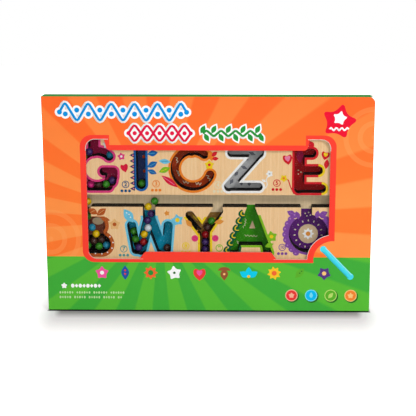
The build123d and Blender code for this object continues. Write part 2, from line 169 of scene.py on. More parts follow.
# Letter prints. Each groove has a coloured floor of its own shape, printed on
# the base, and a coloured line round its mouth, printed on the plate.
ink_step = 0.00002
ink_shine = 0.08
ink_mottle = (420, 420, 420)
ink_tooth = 0.00001
line_width = 0.0023
wide_line = 0.0036
wall_shade_width = 0.0006
edge_overrun = 0.01
near = 0.00002
inks = {
    "pink": (226, 62, 128), "rose": (240, 132, 172), "magenta": (162, 8, 66),
    "midnight": (20, 30, 84), "navy": (36, 52, 104), "blue": (14, 98, 170),
    "sky": (112, 202, 232), "teal": (0, 152, 188), "orange": (244, 132, 36),
    "amber": (232, 150, 60), "rust": (176, 56, 6), "yellow": (246, 210, 30),
    "cream": (240, 226, 190), "white": (248, 248, 246), "grey": (188, 189, 190),
    "slate": (112, 114, 122), "red": (218, 26, 40), "crimson": (225, 20, 60),
    "ruby": (174, 0, 8), "brown": (186, 88, 32), "umber": (132, 68, 49),
    "peach": (242, 188, 122), "olive": (146, 106, 46), "lime": (132, 194, 32),
    "forest": (10, 92, 54), "green": (52, 144, 10), "violet": (132, 74, 162),
    "purple": (89, 32, 113), "lilac": (176, 120, 196), "deep_blue": (24, 84, 132),
    "deep_teal": (92, 160, 160), "bare": (220, 192, 154), "black": (16, 11, 9),
}
letter_inks = {
    "g": ("pink", "magenta"), "i": ("blue", "navy"), "c": ("orange", "rust"),
    "z": ("white", "grey"), "e": ("red", "ruby"), "b": ("brown", "umber"),
    "w": ("sky", "teal"), "y": ("yellow", "olive"), "a": ("lime", "green"),
    "o": ("violet", "purple"),
}
# How far below the row's upper edge the lines and the floors of open letters start,
# and where two letters' lines change colour: the ink, a place across, and the side.
neck_bare = {"b": 0.010, "w": 0.009, "y": 0.010, "a": 0.008, "o": 0.012}
floor_bare = {"b": 0.006, "w": 0.006, "y": 0.008, "o": 0.004}
other_line = {"e": ("yellow", 0.111, 1), "a": ("forest", 0.043, -1)}


def alone(piece):
    """Selects one piece and nothing else."""
    if bpy.context.mode != "OBJECT":
        bpy.ops.object.mode_set(mode="OBJECT")
    bpy.ops.object.select_all(action="DESELECT")
    piece.select_set(True)
    bpy.context.view_layer.objects.active = piece


def choose(piece, kind, rule):
    """In edit mode, selects the points, edges or faces that a rule picks by place."""
    bpy.ops.object.mode_set(mode="OBJECT")
    mesh = piece.data
    kinds = {"points": mesh.vertices, "edges": mesh.edges, "faces": mesh.polygons}
    for group in kinds.values():
        for one in group:
            one.select = False
    for one in kinds[kind]:
        if kind == "points":
            one.select = rule(one.co)
        elif kind == "faces":
            one.select = rule(one.center)
        else:
            one.select = all(rule(mesh.vertices[end].co) for end in one.vertices)
    bpy.context.tool_settings.mesh_select_mode = tuple(kind == other for other in kinds)
    bpy.ops.object.mode_set(mode="EDIT")


def edit(piece):
    alone(piece)
    bpy.ops.object.mode_set(mode="EDIT")
    bpy.context.tool_settings.mesh_select_mode = (True, False, False)
    bpy.ops.mesh.select_all(action="SELECT")


def done():
    bpy.ops.object.mode_set(mode="OBJECT")


def thicken(piece, thickness):
    """Gives a flat print its thickness, towards the front."""
    alone(piece)
    solid = piece.modifiers.new("thickness", "SOLIDIFY")
    solid.thickness = thickness
    solid.offset = 1.0
    bpy.ops.object.modifier_apply(modifier=solid.name)


def front_of(plate):
    """A copy of the flat front of a plate, its mouths open, as one piece."""
    low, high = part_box(plate)
    copy = bpy.data.objects.new("front_of_" + plate, nodes[plate].data.copy())
    bpy.context.scene.collection.objects.link(copy)
    copy.data.materials.clear()
    edit(copy)
    bpy.ops.mesh.remove_doubles(threshold=near / 2)
    choose(copy, "faces", lambda spot: spot.y > low.y + near)
    bpy.ops.mesh.delete(type="FACE")
    for side, way in ((lambda spot: spot.z > high.z - near, (0, 0, edge_overrun)),
                      (lambda spot: spot.z < low.z + near, (0, 0, -edge_overrun)),
                      (lambda spot: spot.x > high.x - near, (edge_overrun, 0, 0)),
                      (lambda spot: spot.x < low.x + near, (-edge_overrun, 0, 0))):
        choose(copy, "edges", side)
        bpy.ops.mesh.extrude_region_move(TRANSFORM_OT_translate={"value": way})
    choose(copy, "faces", lambda spot: True)
    return copy, low, high


def letters_of(piece, word, letters):
    """Separates what was made for a row into its letters, from left to right."""
    edit(piece)
    bpy.ops.mesh.separate(type="LOOSE")
    done()
    parts = [one for one in bpy.context.selected_objects if one.type == "MESH"]
    parts.sort(key=lambda one: min(point.co.x for point in one.data.vertices))
    for letter, part in zip(letters, parts):
        part.name = word + letter
    return dict(zip(letters, parts))


def cut_at(piece, height, side=1):
    """Cuts off what stands over a height, or hangs below it."""
    edit(piece)
    edge = (0, 0, height - side * near)
    bpy.ops.mesh.bisect(plane_co=edge, plane_no=(0, 0, side), clear_outer=True)
    done()


def face_forward(piece):
    edit(piece)
    bpy.ops.mesh.normals_make_consistent(inside=False)
    done()
    if piece.data.polygons[0].normal.y > 0:
        edit(piece)
        bpy.ops.mesh.flip_normals()
        done()


def floor_prints(plate, letters):
    """Each letter as one flat face, from the edges of the plate's mouths."""
    copy, low, high = front_of(plate)
    bpy.ops.mesh.region_to_loop()
    bpy.ops.mesh.select_all(action="INVERT")
    bpy.ops.mesh.delete(type="EDGE")
    bpy.ops.mesh.select_all(action="SELECT")
    bpy.ops.mesh.delete(type="ONLY_FACE")
    for side in (lambda spot: spot.z > high.z + near, lambda spot: spot.z < low.z - near,
                 lambda spot: spot.x > high.x + near, lambda spot: spot.x < low.x - near):
        choose(copy, "edges", side)
        bpy.ops.mesh.delete(type="EDGE")
    parts = letters_of(copy, "floor_print_", letters)
    for letter, part in parts.items():
        edit(part)
        bpy.ops.mesh.edge_face_add()
        face_forward(part)
        edit(part)
        # A narrow ring round the floor's edge, where it meets the walls, carries painted shade.
        bpy.ops.mesh.inset(thickness=wall_shade_width)
        cut_at(part, high.z - floor_bare.get(letter, 0.0))
    return parts


def mouth_lines(plate, letters, width):
    """The line round each letter: a strip of the plate's front along each mouth."""
    copy, low, high = front_of(plate)
    bpy.ops.mesh.inset(thickness=width, use_boundary=True, use_even_offset=True)
    bpy.ops.mesh.delete(type="FACE")
    edge = edge_overrun - near
    choose(copy, "points", lambda spot: spot.z < low.z - edge or abs(spot.x) > high.x + edge)
    bpy.ops.mesh.delete(type="VERT")
    choose(copy, "faces", lambda spot: spot.z > high.z + edge_overrun - width)
    bpy.ops.mesh.delete(type="FACE")
    bpy.ops.mesh.select_all(action="SELECT")
    bpy.ops.mesh.delete_loose()
    parts = letters_of(copy, "line_print_", letters)
    for letter, part in parts.items():
        face_forward(part)
        cut_at(part, high.z - neck_bare.get(letter, 0.0))
        cut_at(part, low.z, -1)
    return parts


def shade(tree, shader, share, colour, darker):
    """Colours a surface evenly, and by a share so much darker."""
    deep = tuple(part * darker for part in colour)
    colour_by(tree, shader, tint(tree, share, tone(colour), tone(deep)))


def ink_finish(name, colour, darker=0.9, roughness=0.5):
    """Printing ink: an even colour with faint mottling and a slight tooth."""
    made, tree, shader = finish(name, roughness, ink_shine)
    mottle = cloud(tree, ink_mottle, 3, 0.6)
    shade(tree, shader, mottle, colour, darker)
    relief(tree, shader, mottle, ink_tooth)
    return made


def move_back(piece, way):
    edit(piece)
    bpy.ops.transform.translate(value=(0, way, 0))
    done()


ink_finishes = {name: ink_finish(name + "_ink", colour) for name, colour in inks.items()}
floor_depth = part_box("base_board")[0].y
letter_rows = {"upper_track_plate": "gicze", "lower_track_plate": "bwyao"}
for row, letters in letter_rows.items():
    for letter, printed in floor_prints(row, letters).items():
        printed.data.materials.append(ink_finishes[letter_inks[letter][1]])
        # The ring round each floor is painted black: painted shade at the foot of the walls.
        printed.data.materials.append(ink_finishes["black"])
        largest = max(face.area for face in printed.data.polygons)
        for face in printed.data.polygons:
            face.material_index = int(face.area < largest)
        move_back(printed, floor_depth - plate_front)
        thicken(printed, ink_step)
        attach(printed, "board")
for row, width, wanted in (("upper_track_plate", line_width, "gicze"),
                           ("lower_track_plate", line_width, "wyao"),
                           ("lower_track_plate", wide_line, "b")):
    for letter, printed in mouth_lines(row, letter_rows[row], width).items():
        if letter not in wanted:
            bpy.data.objects.remove(printed)
            continue
        printed.data.materials.append(ink_finishes[letter_inks[letter][0]])
        if letter in other_line:
            ink, past, way = other_line[letter]
            printed.data.materials.append(ink_finishes[ink])
            for face in printed.data.polygons:
                face.material_index = int((face.center.x - past) * way > 0)
        thicken(printed, ink_step)
        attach(printed, "board")

# Ornaments on the tracks. Round the letters the plate is printed with flowers,
# leaves, dots and scallops, in flat inks laid over each other.
whole = 2 * math.pi
mm = 0.001


def figure(corners, waist=1.0, rounding=0.0, creased=None, top=1.0, foot=-1.0):
    """A flat figure of radius 1 that faces the front, one corner up."""
    bpy.ops.object.select_all(action="DESELECT")
    bpy.ops.mesh.primitive_circle_add(
        vertices=corners, radius=1, fill_type="NGON", rotation=(math.pi / 2, 0, 0))
    piece = bpy.context.object
    bpy.ops.object.transform_apply(location=False, rotation=True, scale=False)

    def number(spot):
        return round(math.atan2(spot.x, spot.z) / whole * corners) % corners

    for height, other in ((1.0, top), (-1.0, foot)):
        if other != height:
            choose(piece, "points", lambda spot: abs(spot.z - height) < 0.01)
            bpy.ops.transform.translate(value=(0, 0, other - height))
            done()
    if waist != 1.0:
        choose(piece, "points", lambda spot: number(spot) % 2 == 1)
        bpy.ops.transform.resize(value=(waist, 1, waist))
        done()
    if rounding:
        edit(piece)
        bpy.ops.mesh.bevel(affect="VERTICES", offset=rounding, segments=3)
        done()
    if creased is not None:
        choose(piece, "points", lambda spot: number(spot) in creased)
        bpy.ops.transform.vert_crease(value=1)
        done()
        swell = piece.modifiers.new("swell", "SUBSURF")
        swell.levels = swell.render_levels = 3
        bpy.ops.object.modifier_apply(modifier=swell.name)
    return piece


def whole_figure(name, piece):
    """Gives a figure a thickness of 1 and keeps it to copy from."""
    thicken(piece, 1.0)
    piece.name = "figure_" + name
    figures[name] = piece


def cut_in_half(piece):
    edit(piece)
    bpy.ops.mesh.bisect(plane_co=(0, 0, 0), plane_no=(1, 0, 0), clear_outer=True)
    done()
    return piece


def hollow(piece, width):
    edit(piece)
    bpy.ops.mesh.inset(thickness=width)
    bpy.ops.mesh.delete(type="FACE")
    done()
    return piece


figures = {}
whole_figure("disc", figure(16))
whole_figure("ring", hollow(figure(24), 0.21))
whole_figure("half", cut_in_half(figure(16)))
whole_figure("arc", cut_in_half(hollow(figure(24), 0.3)))
whole_figure("leaf", figure(4, creased=(0, 2)))
whole_figure("drop", figure(4, creased=(0,)))
whole_figure("heart", figure(8, creased=(0, 4), top=0.3, foot=-1.3))
whole_figure("triangle", figure(3, rounding=0.1))
whole_figure("diamond", figure(4, rounding=0.1))
whole_figure("flower", figure(10, waist=0.6, rounding=0.2))
whole_figure("daisy", figure(16, waist=0.62, rounding=0.12))
whole_figure("star", figure(10, waist=0.56, rounding=0.22))


def stroke(points, width, bend):
    """A drawn line of one width with rounded corners, as thick as a figure."""
    curve = bpy.data.curves.new("stroke", "CURVE")
    curve.dimensions = "3D"
    spots = [Vector((across, 0, up)) for across, up in points]
    path = [spots[0]]
    for before, corner, after in zip(spots, spots[1:], spots[2:]):
        for end in (before, corner, after):
            way = end - corner
            path.append(corner + way.normalized() * min(bend, way.length / 2))
    path.append(spots[-1])
    line = curve.splines.new("NURBS")
    line.points.add(len(path) - 1)
    for point, spot in zip(line.points, path):
        point.co = (*spot, 1)
    line.order_u = 3
    line.use_endpoint_u = True
    line.resolution_u = 3
    curve.bevel_depth = width / 2
    curve.bevel_resolution = 1
    curve.use_fill_caps = True
    piece = bpy.data.objects.new("stroke", curve)
    bpy.context.scene.collection.objects.link(piece)
    alone(piece)
    bpy.ops.object.convert(target="MESH")
    piece.scale = (mm, 2 / width, mm)
    return piece


overlap_step = 0.02


def print_marks(name, ink, layer, surface, slot, body, rows, lines=()):
    """Prints figures and strokes of one ink over a surface, as one piece.

    A row gives a figure, its place across and up in millimetres, half its height,
    half its width and its turn in degrees. A line gives its width, its bend and
    its points. Each layer lies over the one before."""
    parts = []
    for shape, across, up, tall, wide, turn in rows:
        part = bpy.data.objects.new(name, figures[shape].data.copy())
        bpy.context.scene.collection.objects.link(part)
        part.scale = (wide * mm, 1 + overlap_step * len(parts), tall * mm)
        part.rotation_euler = (0, -math.radians(turn), 0)
        part.location = (across * mm, 0, up * mm)
        parts.append(part)
    for width, bend, points in lines:
        parts.append(stroke(points, width, bend))
    bpy.ops.object.select_all(action="DESELECT")
    for part in parts:
        part.select_set(True)
    bpy.context.view_layer.objects.active = parts[0]
    bpy.ops.object.transform_apply(location=True, rotation=True, scale=True)
    if len(parts) > 1:
        bpy.ops.object.join()
    piece = bpy.context.view_layer.objects.active
    edit(piece)
    bpy.ops.transform.resize(value=(1, ink_step * layer, 1), center_override=(0, 0, 0))
    bpy.ops.transform.translate(value=(0, surface, 0))
    done()
    piece.name = name
    piece.data.materials.clear()
    piece.data.materials.append(ink_finishes[ink])
    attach(piece, body)


def ring_of(shape, across, up, reach, tall, wide, angles):
    """Petals or dots in a ring: each points away from the middle."""
    turns = [(angle, math.radians(angle)) for angle in angles]
    return [(shape, across - reach * math.sin(turn), up + reach * math.cos(turn), tall, wide, angle)
            for angle, turn in turns]


def dots(radius, *spots):
    return [("disc", across, up, radius, radius, 0) for across, up in spots]


zigzag_ups = [160.8, 155.0, 149.3, 143.6, 137.9, 132.3, 126.7]
scallops = [(36.0, 101.6), (33.0, 93.9), (30.0, 86.2), (27.0, 78.5), (23.9, 70.8), (20.8, 63.4)]
plate_marks = [
    ("pink_flower", "pink", 2, [("flower", -87.0, 159.6, 4.4, 4.4, 10)]),
    ("crimson_heart", "crimson", 2, [("heart", -84.4, 149.2, 4.6, 4.2, 14)]),
    ("pink_flower_eye", "white", 3, dots(1.2, (-87.0, 159.6))),
    ("white_flower", "white", 2, [("flower", -101.4, 171.6, 4.6, 4.6, 0)]),
    ("white_flower_eye", "rose", 3, dots(1.3, (-101.4, 171.6))),
    ("navy_triangles", "midnight", 2, [("triangle", -75.6, up, 3.4, 2.9, 90) for up in zigzag_ups]),
    ("pink_dots", "rose", 3, dots(0.75, *[(-75.3, up) for up in zigzag_ups])),
    ("blue_leaves", "blue", 2, [
        ("leaf", -56.0, 151.4, 5.8, 4.6, -62), ("leaf", -56.4, 144.0, 5.0, 3.8, -112),
        ("leaf", -55.6, 162.8, 5.4, 4.6, -80)]),
    ("blue_leaf_veins", "sky", 3, [], [
        (0.5, 1, [(-59.6, 149.4), (-53.0, 152.8)]), (0.5, 1, [(-59.6, 145.0), (-54.0, 143.0)]),
        (0.5, 1, [(-59.6, 162.2), (-53.0, 163.2)])]),
    ("sky_leaf", "sky", 2, [("leaf", -43.6, 154.6, 6.2, 3.8, 84)]),
    ("sky_leaf_vein", "blue", 3, [], [(0.8, 1, [(-47.0, 154.2), (-40.4, 155.0)])]),
    ("lime_leaf", "lime", 2, [("leaf", -43.8, 146.0, 6.2, 4.4, 112)]),
    ("lime_leaf_vein", "yellow", 3, [], [(1.0, 1, [(-47.2, 144.6), (-41.0, 147.2)])]),
    ("red_leaf", "crimson", 2, [("leaf", -38.6, 134.2, 10.4, 4.6, 54)]),
    ("red_leaf_vein", "rose", 3, [], [(0.9, 1, [(-45.4, 139.0), (-34.0, 130.8)])]),
    ("yellow_flower", "yellow", 2, [("flower", 1.2, 151.3, 5.4, 5.4, 0)]),
    ("yellow_flower_eye", "red", 3, dots(1.4, (1.2, 151.3)) + [
        ("leaf", 6.4, 162.4, 3.8, 3.2, -50), ("leaf", 7.2, 157.6, 3.4, 3.0, -86)]),
    ("orange_leaf", "orange", 2, [("leaf", 3.0, 160.4, 5.4, 5.0, 10)]),
    ("white_sprig", "white", 2, [
        ("flower", 61.6, 142.4, 4.0, 4.0, 20), ("leaf", 56.0, 135.2, 2.6, 1.8, 60)], [
        (1.0, 2.5, [(57.6, 127.4), (59.6, 131.5), (58.2, 136.6), (61.2, 141.6)])]),
    ("white_sprig_eye", "grey", 3, dots(1.0, (61.6, 142.4))),
    ("red_stem", "red", 2, [], [
        (1.3, 3.0, [(77.2, 137.4), (80.6, 136.2), (82.6, 129.6), (86.4, 121.8)])]),
    ("gold_flower", "yellow", 3, [("flower", 76.0, 137.8, 4.4, 4.4, 36)]),
    ("gold_flower_eye", "orange", 4, dots(1.2, (76.0, 137.8))),
    ("red_hearts", "red", 2, [
        ("heart", 79.4, 158.6, 5.6, 5.2, 10), ("heart", 117.6, 162.4, 4.6, 4.6, -12),
        ("leaf", 118.6, 152.4, 5.2, 3.8, -8), ("leaf", 103.0, 172.0, 4.4, 4.4, 30)]),
    ("pink_heart", "rose", 3, [("heart", 79.4, 158.9, 3.2, 3.0, 10)]),
    ("gold_heart", "yellow", 3, [("heart", 117.6, 162.6, 2.3, 2.3, -12)]),
    ("brown_leaves", "brown", 2, [
        ("leaf", -117.0, 103.0, 5.4, 4.8, 60), ("leaf", -108.4, 102.4, 6.0, 5.0, -52),
        ("leaf", -104.4, 94.6, 4.4, 3.6, -100)]),
    ("brown_leaf_veins", "peach", 3, [], [
        (0.6, 1, [(-111.4, 100.4), (-105.8, 104.6)]),
        (0.6, 1, [(-119.8, 101.6), (-114.4, 104.6)])]),
    ("peach_flower", "peach", 2, [("flower", -95.4, 89.6, 6.6, 6.6, 0)]),
    ("peach_flower_eye", "brown", 3, dots(2.0, (-95.4, 89.6))),
    ("line_dots", "white", 3, dots(
        0.7, (-115.7, 58.9), (-109.1, 58.6), (-103.2, 60.1), (-98.6, 64.6), (-97.4, 70.6),
        (-100.4, 76.6))),
    ("sky_leaves", "sky", 2, [
        ("leaf", -80.9, 98.6, 8.4, 7.0, 34), ("flower", -31.4, 94.4, 6.8, 6.8, 10)]),
    ("sky_leaf_dots", "white", 3, dots(0.7, (-82.8, 101.6), (-80.4, 100.0), (-79.0, 97.0))),
    ("sky_flower_eye", "yellow", 3, dots(2.3, (-31.4, 94.4))),
    ("amber_star", "amber", 2, [("star", -42.0, 101.4, 3.2, 3.2, 10)]),
    ("amber_leaves", "amber", 2, [
        ("leaf", -19.6, 90.8, 5.0, 3.8, 40), ("leaf", 11.0, 92.6, 5.0, 3.8, -80)]),
    ("pink_discs", "pink", 2, dots(3.5, (-13.8, 75.2), (7.0, 75.4))),
    ("pink_disc_rings", "crimson", 3, [
        ("ring", -13.8, 75.2, 1.7, 1.7, 0), ("ring", 7.0, 75.4, 1.7, 1.7, 0)]),
    ("line_spots", "amber", 3, dots(
        0.7, (-11.2, 83.4), (-9.4, 79.8), (4.4, 83.0), (3.6, 78.0), (-9.6, 70.0))),
    ("green_scallops", "forest", 2, [
        ("half", across, up, 4.4, 5.8, 21) for across, up in scallops]),
    ("yellow_scallops", "yellow", 3, [
        ("arc", across, up, 2.7, 3.5, 21) for across, up in scallops]),
    ("lime_flower", "lime", 2, [
        ("flower", 64.2, 77.4, 6.6, 6.6, 10), ("leaf", 62.0, 68.4, 4.6, 3.8, -70)]),
    ("lime_flower_eye", "yellow", 3, dots(1.9, (64.2, 77.4))),
    ("violet_leaves", "violet", 2, [
        ("leaf", 84.0, 101.8, 4.8, 4.4, 64), ("leaf", 90.4, 99.8, 4.4, 3.8, 20),
        ("leaf", 110.4, 100.6, 4.4, 3.8, -10), ("leaf", 116.4, 101.2, 4.8, 4.4, -64),
        *ring_of("disc", 101.7, 80.6, 23.6, 3.0, 3.4, range(36, 150, 14)),
        *ring_of("disc", 101.7, 80.6, 23.6, 3.0, 3.4, range(-36, -120, -14))]),
    ("lilac_veins", "lilac", 3, ring_of("disc", 101.7, 80.6, 24.4, 0.9, 0.9, range(36, 150, 14)), [
        (0.6, 1, [(81.6, 103.0), (86.2, 100.8)]), (0.6, 1, [(114.2, 100.2), (118.8, 102.2)])]),
]
for name, ink, layer, *marks in plate_marks:
    print_marks(name, ink, layer, plate_front, "track_wood", "board", *marks)

# Marks on the groove floors. Dots, bars and waves are printed over the floors' colour,
# black painted shade lies where beads rest and under the trough, and three letters are bare wood
# inside.
floor_marks = [
    # A black strip on the trough floor along the foot of the lower plate's upper wall: painted
    # shade.
    ("upper_edge_painted_shade", "black", 1, [], [
        (1.0, 1, [(start, 108.2), (end, 108.2)]) for start, end in (
            (-146.5, -130.4), (-119.2, -66.5), (-53.4, 4.3), (14.7, 39.0), (47.5, 93.7),
            (105.1, 146.5))]),
    # Black patches behind and round the resting beads: painted shadow of the beads and walls.
    ("painted_bead_shadows", "black", 3, [
        *dots(4.3, (-67.6, 130.3), (-98.4, 132.6), (-1.3, 84.4)), *dots(9.4, (-110.6, 67.4))], [
        (8.4, 1.0, [(-121.5, 129.2), (-103.0, 129.2), (-98.2, 132.4)]),
        (18.8, 1.0, [(-123.6, 67.4), (-110.6, 67.4)]), (2.6, 1.0, [(-20.4, 95.4), (-8.2, 81.4)]),
        (2.4, 1.0, [(12.8, 98.4), (2.0, 81.4)]),
        (7.8, 2.0, [(-77.2, 83.4), (-73.9, 64.2), (-67.6, 66.6)]),
        (8.0, 1.0, [(-3.4, 58.4), (-3.4, 80.0)]), (1.3, 1.0, [(-54.2, 99.4), (-54.2, 107.8)])]),
    ("orange_floor_dots", "rust", 2, [
        ("disc", -65.9, 157.2, 1.7, 1.5, 0), ("disc", -65.2, 142.4, 1.7, 1.6, 0)]),
    ("pale_floor_waves", "cream", 2, [], [
        (0.9, 1.0, [(-33.4, 156.6), (-31.2, 155.4), (-33.0, 153.8), (-30.8, 152.4),
                    (-32.6, 150.8)]),
        (0.8, 1.0, [(-32.8, 142.8), (-30.2, 141.8), (-31.6, 140.2), (-29.2, 139.0),
                    (-30.8, 137.4)]),
        (0.8, 1.0, [(-26.4, 132.6), (-24.6, 129.8), (-23.2, 132.2), (-21.2, 129.2),
                    (-19.8, 131.6)]),
        (0.8, 1.0, [(-13.4, 131.0), (-12.0, 128.2), (-10.6, 130.8), (-9.0, 127.8), (-7.4, 130.4)]),
        (0.8, 1.0, [(-2.6, 138.2), (0.4, 137.4), (-1.2, 135.2), (1.8, 134.6), (0.6, 132.2)])]),
    ("grey_floor_bars", "slate", 2, [
        ("diamond", 44.2, 160.6, 1.9, 4.0, -20), ("diamond", 37.4, 155.4, 1.9, 3.8, -25),
        ("diamond", 36.2, 146.2, 1.9, 4.0, -25), ("diamond", 28.2, 139.8, 1.8, 3.2, 50),
        ("diamond", 23.4, 131.8, 1.9, 3.4, 60), ("diamond", 41.4, 129.3, 2.4, 2.0, 0),
        ("diamond", 33.4, 129.6, 2.2, 1.8, 0)]),
    ("pale_floor_dots", "cream", 2, dots(0.6, (91.2, 143.6), (93.8, 141.8), (91.3, 139.7))),
    ("magenta_floor", "magenta", 2, [("leaf", 92.6, 158.8, 8.4, 5.4, 0)]),
    ("teal_floor_dots", "sky", 2, [("disc", across, up, 0.7, 0.28, 8) for across, up in (
        (-54.3, 86.5), (-52.1, 77.9), (-42.8, 78.9), (-39.7, 78.4), (-49.5, 69.7), (-46.4, 69.2),
        (-42.4, 69.3), (-41.5, 86.6), (-38.8, 86.2), (-81.3, 87.7), (-79.1, 85.9), (-78.6, 90.0),
        (-46.0, 74.4), (-50.6, 82.0))]),
    ("olive_floor_leaves", "yellow", 2, [
        ("leaf", -14.0, 93.6, 4.6, 1.2, 40), ("leaf", 5.6, 92.0, 3.0, 1.6, -30)]),
    ("green_floor_waves", "cream", 2, [], [
        (0.5, 0.6, [(37.0, 93.0), (38.8, 91.6), (37.0, 90.2), (38.6, 88.8), (36.4, 87.6),
                    (37.6, 86.0), (35.2, 85.0), (35.8, 83.0)]),
        (0.5, 0.6, [(37.0, 76.2), (38.6, 74.2), (40.2, 76.0), (41.8, 74.0), (43.4, 75.8),
                    (45.0, 73.8), (46.6, 75.6), (48.2, 73.8), (50.0, 75.4)]),
        (0.5, 0.6, [(28.6, 69.4), (30.6, 68.6), (29.4, 67.2), (31.2, 66.2)])]),
    ("bare_floor_marks", "bare", 2, [
        ("triangle", 44.8, 85.6, 5.6, 3.6, 0), ("disc", 102.2, 77.4, 10.2, 10.2, 0),
        ("disc", -114.0, 90.0, 3.9, 5.8, 0)]),
    ("purple_floor_dots", "cream", 3, [
        *ring_of("disc", 102.2, 77.4, 14.0, 1.1, 0.6, range(0, 360, 24)),
        *dots(0.7, (98.9, 98.8), (102.4, 99.8), (100.6, 96.3), (104.2, 97.0))]),
    ("white_floor_flower", "white", 3, [("daisy", 102.2, 77.4, 6.4, 6.4, 0)]),
    ("white_floor_flower_eye", "amber", 4, dots(2.4, (102.2, 77.4))),
]
for name, ink, layer, *marks in floor_marks:
    print_marks(name, ink, layer, floor_depth, "base_wood", "board", *marks)

# Numbers. A plain number in a ring stands beside most letters, over three small
# dots, all printed on the plate in one ink.
numbers = [
    ("2", "deep_blue", -83.3, 131.0), ("3", "orange", -52.5, 131.8), ("4", "cream", 9.9, 130.8),
    ("5", "red", 69.1, 132.9), ("7", "deep_teal", -86.5, 63.9), ("8", "yellow", -23.1, 67.3),
    ("9", "lime", 11.1, 65.3), ("10", "violet", 75.3, 66.2),
]
ring_radius = 3.8
number_height = 4.6
one_digit_larger = 1.3
half_thick = 0.5
number_boldness = 0.03
swatch_radius = 1.5
swatch_gap = 3.8
swatch_drop = 6.6
for number, ink, across, up in numbers:
    bpy.ops.object.select_all(action="DESELECT")
    bpy.ops.object.text_add(rotation=(math.pi / 2, 0, 0))
    glyph = bpy.context.object
    glyph.data.body = number
    glyph.data.align_x = "CENTER"
    glyph.data.align_y = "CENTER"
    glyph.data.size = 1.0
    glyph.data.extrude = half_thick
    glyph.data.offset = number_boldness
    bpy.ops.object.convert(target="MESH")
    bpy.ops.object.transform_apply(location=False, rotation=True, scale=False)
    move_back(glyph, -half_thick)
    figures["number_" + number] = glyph
    glyph.name = "figure_number_" + number
    size = number_height * (one_digit_larger if len(number) == 1 else 1.0)
    swatches = [(across + shift, up - swatch_drop) for shift in (-swatch_gap, 0.0, swatch_gap)]
    print_marks("number_print_" + number, ink, 2, plate_front, "track_wood", "board", [
        ("ring", across, up, ring_radius, ring_radius, 0),
        ("number_" + number, across, up, size, size, 0), *dots(swatch_radius, *swatches)])

# Beads. Round steel cores in glossy coloured plastic, each moulded in one shot,
# so the colour is even and deep, with a few faint rubs from rolling.
bead_inks = {
    "bead_brown": (72, 42, 34), "bead_green": (58, 146, 30), "bead_pink": (246, 44, 142),
    "bead_purple": (70, 40, 108), "bead_blue": (37, 148, 184), "bead_yellow": (250, 206, 2),
    "bead_red": (162, 5, 16), "bead_white": (225, 233, 238),
}
bead_roughness = 0.34
bead_shine = 0.35
bead_rubs = (700, 700, 700)
rub_darker = 0.82
rub_depth = 0.00001


def bead_finish(name, colour):
    made, tree, shader = finish(name, bead_roughness, bead_shine)
    rubs = cloud(tree, bead_rubs, 4, 0.5)
    shade(tree, shader, rubs, colour, rub_darker)
    relief(tree, shader, rubs, rub_depth)
    return made


bead_finishes = {name: bead_finish(name, colour) for name, colour in bead_inks.items()}
for entry in frame["record"]["subparts"]:
    if entry["material_slot"] in bead_finishes:
        paint(bead_finishes[entry["material_slot"]], entry["node"])

# Cover. A sheet of clear acrylic lies over the tracks and is held at its edges
# by eight zinc-plated screws, whose crossed heads are sunk flush with it.
clear_shades = ((30, 34, 36), (60, 64, 68))
wipe_smears = (60, 60, 12)
sheet_waves = (9, 9, 9)
sheet_wave_depth = 0.0001
clear_haze = 0.01
glance_gain = 0.2
glance_blend = 0.35
zinc_shades = ((206, 208, 210), (150, 152, 156))
zinc_spangle = (1500, 1500, 1500)
acrylic_roughness = 0.06
zinc_roughness = 0.34
acrylic, tree, shader = finish("clear_acrylic", acrylic_roughness)
smears = cloud(tree, wipe_smears, 4, 0.5)
colour_by(tree, shader, tint(tree, smears, *map(tone, clear_shades)))
glance = add(tree, "LayerWeight", {"Blend": glance_blend}).outputs["Fresnel"]
haze = calc(tree, "ADD", calc(tree, "MULTIPLY", glance, glance_gain), clear_haze)
tree.links.new(haze, shader.inputs["Alpha"])
relief(tree, shader, cloud(tree, sheet_waves, 1), sheet_wave_depth)
paint(acrylic, "clear_cover")
steel, tree, shader = finish("zinc_plated_steel", zinc_roughness)
shader.inputs["Metallic"].default_value = 1.0
spangle = cloud(tree, zinc_spangle, 2)
colour_by(tree, shader, tint(tree, spangle, *map(tone, zinc_shades)))
paint(steel, "cover_screws")

# Pen. A tube of cyan plastic holds a nickel-plated magnet behind its pale nose,
# and a knob closes its other end, which stands out of the lower rail.
pen_cyan = (70, 206, 224)
pen_pale = (236, 234, 226)
pen_roughness = 0.3
flow_marks = (120, 120, 120)
flow_darker = 0.9
mould_grain = (900, 900, 900)
mould_depth = 0.00001


def plastic(name, colour):
    made, tree, shader = finish(name, pen_roughness)
    shade(tree, shader, cloud(tree, flow_marks, 3, 0.6), colour, flow_darker)
    relief(tree, shader, cloud(tree, mould_grain, 2), mould_depth)
    return made


paint(plastic("pen_cyan", pen_cyan), "pen_barrel", "pen_knob")
paint(plastic("pen_pale", pen_pale), "pen_nose")
paint(steel, "pen_magnet")

